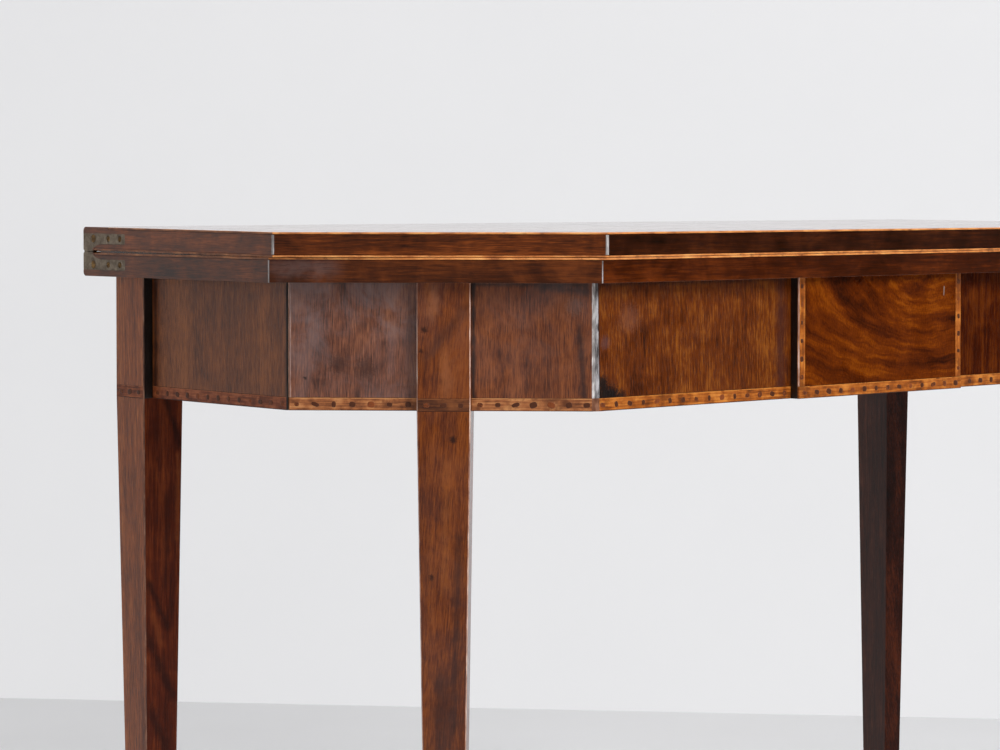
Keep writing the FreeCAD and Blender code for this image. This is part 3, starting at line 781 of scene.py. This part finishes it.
def rubbedCorner(shape, node):
    # the veneers are worn back to a slanting strip on both sides of their mitre, pale as wear and painted
    # highlight
    side = -1 if node.startswith("left") else 1
    onFront = "flank" in node
    corner = planCorner(node, "front_flank_veneer")
    bottom, top = frieze["wornFront"] if onFront else (frieze["wornCant"],) * 2
    slope = (top - bottom) / (friezeHigh - friezeLow)
    along = Vector((-side, 0, 0)) if onFront else Vector((side, 1, 0)).normalized()
    sliced(shape, corner + along * bottom, along - Vector((0, 0, slope)))
    inward = Vector((-side * frieze["inward"][0], frieze["inward"][1], 0))
    moved = [v for v in shape.verts if (v.co.xy - corner.xy).length < planReach]
    for v in moved:
        share = (v.co.z - friezeLow) / (friezeHigh - friezeLow)
        reach = frieze["wornFront"][0] * (1 - share) + frieze["wornFront"][1] * share
        v.co += inward * (2 * frieze["wornCant"] * reach / (frieze["wornCant"] + reach) * frieze["inward"][0])
    for face in {f for v in moved for f in v.link_faces}:
        face.normal_update()
        if face.normal.dot(inward) < -0.8:
            face.material_index = 1


# finish of each veneer and banding, and of its worn edge: pale edges are wear and painted highlight, black
# ones dark joints
facets = {
    "end_veneer": ("end", "edgeBlack"),
    "canted_rear_veneer": ("cantRear", "wornPink"),
    "canted_front_veneer": ("cantFront", "wornWhite"),
    "front_flank_veneer": ("flank", "wornGrey"),
    "end_banding": ("endBanding", "edgeBlack"),
    "canted_rear_banding": ("cantBanding", "wornBrown"),
    "canted_front_banding": ("cantBanding", "wornBrown"),
    "front_flank_banding": ("banding", "wornBrown"),
}
for kind, (finish, worn) in facets.items():
    for node in both(kind):
        shape = mergedCopy(node)
        if kind.startswith(("end", "canted_rear")):
            corner = planCorner(node, "end_veneer")
            eased(shape, uprightAt(shape, corner.x, corner.y), frieze["seam"][kind.split("_")[0]], 1, 1)
        else:
            rubbedCorner(shape, node)
        fresh = [e for e in sharpEdges(shape, 40) if all(f.material_index == 0 for f in e.link_faces)]
        eased(shape, fresh, frieze["arris"])
        standIn(node, shape, ["flankRight" if node == "right_front_flank_veneer" else finish, worn])

# Tablet: figured field, chequered borders, returns painted black as shade
tablet = {"sideArris": 0.0009}
# the core shows only at the returns, painted black as shade
for node, finish in (("tablet_veneer", "flame"), ("tablet_core", "edgeBlack"), ("tablet_banding", "banding")):
    crisp(node, finish, frieze["arris"])
for node in both("tablet_side_banding"):
    shape = mergedCopy(node)
    low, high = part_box(node)
    outer = low[0] if node.startswith("left") else high[0]
    eased(shape, uprightAt(shape, outer, low[1]), tablet["sideArris"], 1, 1)
    standIn(node, shape, ["sideBanding", "wornPink"])
print("frieze dressed")


# Legs with rubbed arrises, the front legs' pale as wear and painted highlight

leg = {"rubLength": 0.08, "rubWidth": 0.0015}     # longer and narrower faces are the rubbed arrises
# finish of the sides, of the arrises, of a back leg's front below the banding and above it; the back legs'
# fronts and the whole right back leg take darker copies as painted shade
legFinishes = {
    "left_front_leg": ["frontLeg", "wornPink"],
    "right_front_leg": ["frontLeg", "wornPink"],
    "left_gate_leg": ["gateLeg", "wornBrown", "gateLegFront", "edgeBlack"],
    "right_gate_leg": ["gateLegRight", "gateLegRight", "gateLegDark", "edgeBlack"],
}
for kind, bandFinish in (("front_leg", "legBanding"), ("gate_leg", "endBanding")):
    for node in both(kind):
        shape = mergedCopy(node)
        for face in shape.faces:
            length = max(e.calc_length() for e in face.edges)
            narrow = face.calc_area() / length < leg["rubWidth"]
            if length > leg["rubLength"] and narrow and abs(face.normal.z) < 0.5:
                face.material_index = 1
            # faces of a back leg that look forward get the darker copies: painted shade
            elif kind == "gate_leg" and face.normal.y < -0.7:
                face.material_index = 3 if face.calc_center_median().z > bandHigh[2] else 2
        standIn(node, shape, legFinishes[node])
    for node in both(kind + "_banding"):
        crisp(node, bandFinish, frieze["arris"])
print("legs made")


# Hinges, gates and the inner carcase

hinge = {"arris": 0.00025}
for kind in ("flap_hinge_plate", "fixed_hinge_plate", "hinge_pin"):
    for node in both(kind):
        shape = mergedCopy(node)
        if kind != "hinge_pin":
            eased(shape, sharpEdges(shape, 40), hinge["arris"])
        smoothRound(shape)
        standIn(node, shape, ["brass"])
for node in both("fly_rail") + ["knuckle_block"]:
    shape = mergedCopy(node)
    smoothRound(shape)
    standIn(node, shape, ["railWood"])

carcase = {"front_rail": "railWood", "back_rail": "railWood", "cross_bearer": "blockWood",
           "corner_blocks": "blockWood", "top_pocket_screws": "iron", "knuckle_block_screws": "iron"}
for kind, finish in (("end_rail", "railWood"), ("canted_rail", "railWood"), ("gate_pin", "iron")):
    for node in both(kind):
        carcase[node] = finish
for node, finish in carcase.items():
    for slot in nodes[node].material_slots:
        slot.material = finishes[finish]
print("carcase finished")


# Repeated pieces grown by node trees

def newTree(name, sockets):
    tree = bpy.data.node_groups.new(name, "GeometryNodeTree")
    tree.interface.new_socket("Geometry", in_out="INPUT", socket_type="NodeSocketGeometry")
    for label, kind, value in sockets:
        item = tree.interface.new_socket(label, in_out="INPUT", socket_type="NodeSocket" + kind)
        if value is not None:
            item.default_value = value
    tree.interface.new_socket("Geometry", in_out="OUTPUT", socket_type="NodeSocketGeometry")
    given = tree.nodes.new("NodeGroupInput")
    return tree, given.outputs


def geometry(tree, kind, inputs, **settings):
    return put(tree, "GeometryNode" + kind, inputs, **settings).outputs[0]


def chance(tree, low, high, seed):
    return put(tree, "FunctionNodeRandomValue", {2: low, 3: high, "Seed": seed}, data_type="FLOAT").outputs[1]


def turned(tree, **axes):
    return put(tree, "FunctionNodeEulerToRotation", {0: combined(tree, **axes)}).outputs[0]


def endTree(tree, instances, material):
    whole = geometry(tree, "RealizeInstances", {0: instances})
    coloured = geometry(tree, "SetMaterial", {"Geometry": whole, "Material": material})
    tree.links.new(coloured, tree.nodes.new("NodeGroupOutput").inputs[0])


def grown(tree, values, points=()):
    # run the tree on loose points and keep the plain mesh
    base = bpy.data.meshes.new("points")
    base.from_pydata([tuple(p) for p in points], [], [])
    holder = linked("holder", base)
    modifier = holder.modifiers.new("grow", "NODES")
    modifier.node_group = tree
    for item in tree.interface.items_tree:
        if item.in_out == "INPUT" and item.name in values:
            modifier[item.identifier] = values[item.name]
    bpy.context.view_layer.update()
    mesh = bpy.data.meshes.new_from_object(holder.evaluated_get(bpy.context.evaluated_depsgraph_get()))
    holder.modifiers.remove(modifier)
    bpy.data.objects.remove(holder)
    return mesh


def joined(name, meshes, degrees):
    shape = bmesh.new()
    for mesh in meshes:
        shape.from_mesh(mesh)
    smoothRound(shape, degrees)
    return linked(name, meshOf(name, shape, meshes[0].materials))


# Dots of the banding, set out along each strip

def dotTree():
    tree, given = newTree("bandingDotTree", [
        ("Count", "Int", 8), ("Start", "Vector", None), ("Step", "Vector", None), ("Turn", "Float", 0.0),
        ("Size", "Vector", banding["dotSize"]), ("Seed", "Int", 1), ("Material", "Material", None)])
    line = geometry(tree, "MeshLine", {"Count": given["Count"], "Start Location": given["Start"],
                                       "Offset": given["Step"]})
    # subdividing draws the block in, so that it starts larger than its size
    block = geometry(tree, "MeshCube", {"Size": (2.4, 2.4, 2.4)})
    block = geometry(tree, "SubdivisionSurface", {"Mesh": block, "Level": 2, "Edge Crease": 0.25})
    dot = geometry(tree, "Transform", {"Geometry": block, "Scale": given["Size"]})
    lean = chance(tree, -banding["dotLean"], banding["dotLean"], given["Seed"])
    small, large = banding["dotScales"]
    size = put(tree, "FunctionNodeRandomValue", {0: small, 1: large, "Seed": given["Seed"]},
               data_type="FLOAT_VECTOR").outputs[0]
    dots = geometry(tree, "InstanceOnPoints", {"Points": line, "Instance": dot, "Scale": size,
                                               "Rotation": turned(tree, Y=lean, Z=given["Turn"])})
    toned = geometry(tree, "StoreNamedAttribute", {"Geometry": dots, "Name": "dotTone",
                                                   "Value": chance(tree, 0.0, 1.0, 7)},
                     data_type="FLOAT", domain="INSTANCE")
    endTree(tree, toned, given["Material"])
    return tree


insideY = 0.1       # a place behind all facets, to tell which way is out


def outerFace(node):
    # the broad outer face of a thin strip: its corners, outward normal and direction along it
    mesh = nodes[node].data
    centre = sum((v.co for v in mesh.vertices), Vector()) / len(mesh.vertices)
    broad = max(mesh.polygons, key=lambda p: p.area).normal.copy()
    if "tablet" in node or "flank" in node:
        outward = Vector((0, -1, 0))
    else:
        outward = Vector((centre.x, centre.y - insideY, 0))
    if broad.dot(outward) < 0:
        broad.negate()
    far = max(v.co.dot(broad) for v in mesh.vertices)
    face = [v.co.copy() for v in mesh.vertices if far - v.co.dot(broad) < 1e-5]
    return face, broad, Vector((0, 0, 1)).cross(broad)


bandNodes = ["tablet_banding"] + both("tablet_side_banding")
for kind in [k for k in facets if k.endswith("banding")] + ["front_leg_banding", "gate_leg_banding"]:
    bandNodes += both(kind)
dotRows = {}
tree = dotTree()
for index, node in enumerate(bandNodes):
    face, normal, along = outerFace(node)
    upright = "side" in node
    way = Vector((0, 0, 1)) if upright else along
    marks = [v.dot(way) for v in face]
    first, last = min(marks), max(marks)
    middle = sum(face, Vector()) / len(face)
    count = max(1, round((last - first) / banding["dotPitch"]))
    step = (last - first) / count
    if not upright:
        middle.z = (bandLow[2] + bandHigh[2]) / 2 - banding["dotDrop"]
    start = middle + way * (first + step / 2 - middle.dot(way))
    values = {"Count": count, "Start": start, "Step": way * step, "Seed": index, "Material": finishes["dots"],
              "Turn": math.atan2(normal.y, normal.x) + math.pi / 2}
    if upright:
        values["Size"] = banding["sideDotSize"]
    dotRows.setdefault(nodes[node]["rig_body"], []).append(grown(tree, values))
for body, meshes in dotRows.items():
    piece = joined(camel(body + "_banding_dots"), meshes, 80)
    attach(piece, body)
print("banding dots set in", sum(len(m) for m in dotRows.values()), "strips")


# Slotted screws of the hinges

screw = {
    "slotWidth": 0.0009,
    "slotDepth": 0.0008,
    "slotLength": 0.02,
    "shank": 0.0015,
    "length": 0.019,
    "headDepth": 0.0022,
    "seat": 0.55,           # foot of the head, as a share of its radius
    "head": 0.8,            # head as a share of its hole
    "sink": 0.0004,
}


def screwTree():
    tree, given = newTree("slottedScrewTree", [
        ("Radius", "Float", 0.003), ("Slot width", "Float", screw["slotWidth"]),
        ("Slot depth", "Float", screw["slotDepth"]), ("Shank", "Float", screw["shank"]),
        ("Length", "Float", screw["length"]), ("Facing", "Float", 0.0), ("Seed", "Int", 1),
        ("Material", "Material", None)])
    # head with its face at the origin, looking up Z, then a slot across it
    depth = screw["headDepth"]
    seat = times(given["Radius"], screw["seat"])
    head = geometry(tree, "MeshCone", {"Vertices": 28, "Radius Top": given["Radius"], "Radius Bottom": seat,
                                       "Depth": depth})
    head = geometry(tree, "Transform", {"Geometry": head, "Translation": (0, 0, -depth)})
    slot = combined(tree, X=screw["slotLength"], Y=given["Slot width"], Z=given["Slot depth"])
    cutter = geometry(tree, "MeshCube", {"Size": slot})
    head = geometry(tree, "MeshBoolean", {"Mesh 1": head, "Mesh 2": cutter}, operation="DIFFERENCE")
    stem = geometry(tree, "MeshCylinder", {"Vertices": 16, "Radius": given["Shank"],
                                           "Depth": given["Length"]})
    drop = calc("ADD", times(given["Length"], -0.5), -depth)
    stem = geometry(tree, "Transform", {"Geometry": stem, "Translation": combined(tree, Z=drop)})
    whole = tree.nodes.new("GeometryNodeJoinGeometry")
    tree.links.new(head, whole.inputs[0])
    tree.links.new(stem, whole.inputs[0])
    screws = geometry(tree, "InstanceOnPoints", {"Points": given["Geometry"], "Instance": whole.outputs[0],
                                                 "Rotation": turned(tree, Y=given["Facing"])})
    twist = combined(tree, Z=chance(tree, 0.0, math.pi, given["Seed"]))
    screws = geometry(tree, "RotateInstances", {"Instances": screws, "Rotation": twist})
    endTree(tree, screws, given["Material"])
    return tree


def islands(mesh):
    # connected groups of corners
    shape = bmesh.new()
    shape.from_mesh(mesh)
    bmesh.ops.remove_doubles(shape, verts=shape.verts, dist=1e-6)
    left = set(shape.verts)
    groups = []
    while left:
        todo = [left.pop()]
        group = []
        while todo:
            v = todo.pop()
            group.append(v.co.copy())
            fresh = {e.other_vert(v) for e in v.link_edges} & left
            left -= fresh
            todo += fresh
        groups.append(group)
    shape.free()
    return groups


tree = screwTree()
for node in ("flap_hinge_screws", "fixed_hinge_screws"):
    meshes = []
    ends = []
    for group in islands(nodes[node].data):
        side = 1 if group[0].x > 0 else -1
        far = max(side * co.x for co in group)
        rim = [co for co in group if far - side * co.x < 1e-5]
        middle = sum(rim, Vector()) / len(rim)
        radius = max((co - middle).length for co in rim)
        ends.append((round(middle.x, 3), round(middle.y, 4), side, middle, radius))
    for index, (_, _, side, middle, radius) in enumerate(sorted(ends, key=lambda e: e[:2])):
        values = {"Radius": radius * screw["head"], "Facing": side * math.pi / 2, "Seed": index + 3,
                  "Material": finishes["screwBrass"]}
        meshes.append(grown(tree, values, [middle - Vector((side * screw["sink"], 0, 0))]))
    takePlace(joined(camel(node), meshes, 30), node)
print("screws driven")


# Floor, backdrop, lights, camera

stage = {
    "wallTone": (150, 150, 151),
    "floorTone": (228, 228, 229),
    "shadeTone": (140, 140, 142),
    "speckTone": (180, 180, 182),
    "floorHalf": 7,
    "wallRun": 5,
    "wallHeight": 4,
    "wallEnds": ((0.5398, 2.0097), (1.5278, 0.8908)),     # two points of the line where wall and floor meet
    "wallGlow": 1.72,
    "darkWay": (0.66, -0.75, 0.0),
    "darkRun": (0.5, 2.2),
    "brightWay": (-0.75, 0.55, 0.2),
    "backGlow": 0.78,           # plain pale surroundings, as the camera sees them
}


def wallFinish(name):
    finish, tree, skin, place = newFinish(name, rough=0.9)
    speck = spread(noise(place, 3.0, detail=5.0), 0.3, 0.7, 0.0, 0.12, "LINEAR")
    colour = mixed(tree, speck, tone(*stage["wallTone"]), tone(*stage["shadeTone"]))
    feed(skin, colour)
    feed(skin, colour, "Emission Color")
    skin.inputs["Emission Strength"].default_value = stage["wallGlow"]
    # seen through from behind, so that it never stands before the table
    reverse = put(tree, "ShaderNodeNewGeometry").outputs["Backfacing"]
    clear = put(tree, "ShaderNodeBsdfTransparent")
    either = put(tree, "ShaderNodeMixShader", {0: reverse, 1: skin.outputs[0], 2: clear.outputs[0]})
    out = next(n for n in tree.nodes if n.type == "OUTPUT_MATERIAL")
    tree.links.new(either.outputs[0], out.inputs[0])
    return finish


def floorFinish(name):
    # painted shade: pale near the table, falling away in front on the right where the room is dark
    finish, tree, skin, place = newFinish(name, rough=0.75, gloss=0.15)
    away = vectors("DOT_PRODUCT", place, stage["darkWay"])
    shade = spread(away, *stage["darkRun"], 0.0, 0.9)
    base = mixed(tree, shade, tone(*stage["floorTone"]), tone(*stage["shadeTone"]))
    speck = spread(noise(place, 2.0, detail=4.0), 0.3, 0.7, 0.0, 0.1, "LINEAR")
    feed(skin, mixed(tree, speck, base, tone(*stage["speckTone"])))
    return finish


def sheet(name, corners, finish):
    mesh = bpy.data.meshes.new(name)
    mesh.from_pydata([tuple(c) for c in corners], [], [(0, 1, 2, 3)])
    mesh.materials.append(finish)
    piece = linked(name, mesh)
    piece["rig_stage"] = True


first, second = (Vector((x, y, 0)) for x, y in stage["wallEnds"])
wallAlong = (second - first).normalized()
first -= wallAlong * stage["wallRun"]
second += wallAlong * stage["wallRun"]
rise = Vector((0, 0, stage["wallHeight"]))
far = stage["floorHalf"]
sheet("floor", [(-far, -far, 0), (far, -far, 0), (far, far, 0), (-far, far, 0)], floorFinish("paleFloor"))
sheet("backdrop", [first, second, second + rise, first + rise], wallFinish("paleWall"))

lights = {
    "key": {"place": (0.1, -2.8, 2.4), "aim": (0, 0, 0.6), "size": (1.4, 1.4), "power": 90},
    "frontWindow": {"place": (-0.25, -3.4, 1.0), "aim": (0, 0, 0.6), "size": (0.9, 1.4), "power": 14,
                    "mirrored": False},
    "ceiling": {"place": (-0.6, -0.2, 3.2), "aim": (0, 0, 0.5), "size": (3.0, 3.0), "power": 30},
}
for name, lamp in lights.items():
    data = bpy.data.lights.new(name, "AREA")
    data.shape = "RECTANGLE"
    data.size, data.size_y = lamp["size"]
    data.energy = lamp["power"]
    holder = linked(name, data)
    holder.location = lamp["place"]
    aim = Vector(lamp["aim"]) - Vector(lamp["place"])
    holder.rotation_euler = aim.to_track_quat("-Z", "Y").to_euler()
    holder.visible_camera = False
    holder.visible_glossy = lamp.get("mirrored", True)

# the surroundings are bright to the left and behind, dark in front on the right
world = bpy.data.worlds.new("studio")
world.use_nodes = True
scene.world = world
skyTree = world.node_tree
skyTree.nodes.clear()
direction = put(skyTree, "ShaderNodeTexCoord").outputs["Generated"]
side = vectors("DOT_PRODUCT", direction, stage["brightWay"])
glow = spread(side, -0.3, 0.5, 0.02, 0.55)
seen = put(skyTree, "ShaderNodeLightPath").outputs["Is Camera Ray"]
glow = spread(seen, 0.0, 1.0, glow, stage["backGlow"], "LINEAR")
sky = put(skyTree, "ShaderNodeBackground", {"Color": (1, 1, 1, 1), "Strength": glow})
put(skyTree, "ShaderNodeOutputWorld", {0: sky.outputs[0]})

view = {
    "place": (-1.8709, -1.8375, 0.7645),
    "yaw": -41.657,
    "down": 1.788,
    "focal": 2975.2,            # in pixels of an image of this width
    "imageWidth": 1000,
    "sensor": 36.0,
    "shift": -0.09,
}
cameraData = bpy.data.cameras.new("camera")
cameraData.sensor_width = view["sensor"]
cameraData.lens = view["focal"] * view["sensor"] / view["imageWidth"]
cameraData.shift_y = view["shift"]
camera = linked("camera", cameraData)
camera.location = view["place"]
camera.rotation_euler = (math.radians(90 - view["down"]), 0, math.radians(view["yaw"]))
scene.camera = camera
scene.view_settings.view_transform = "Standard"
print("stage set")

low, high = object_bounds()
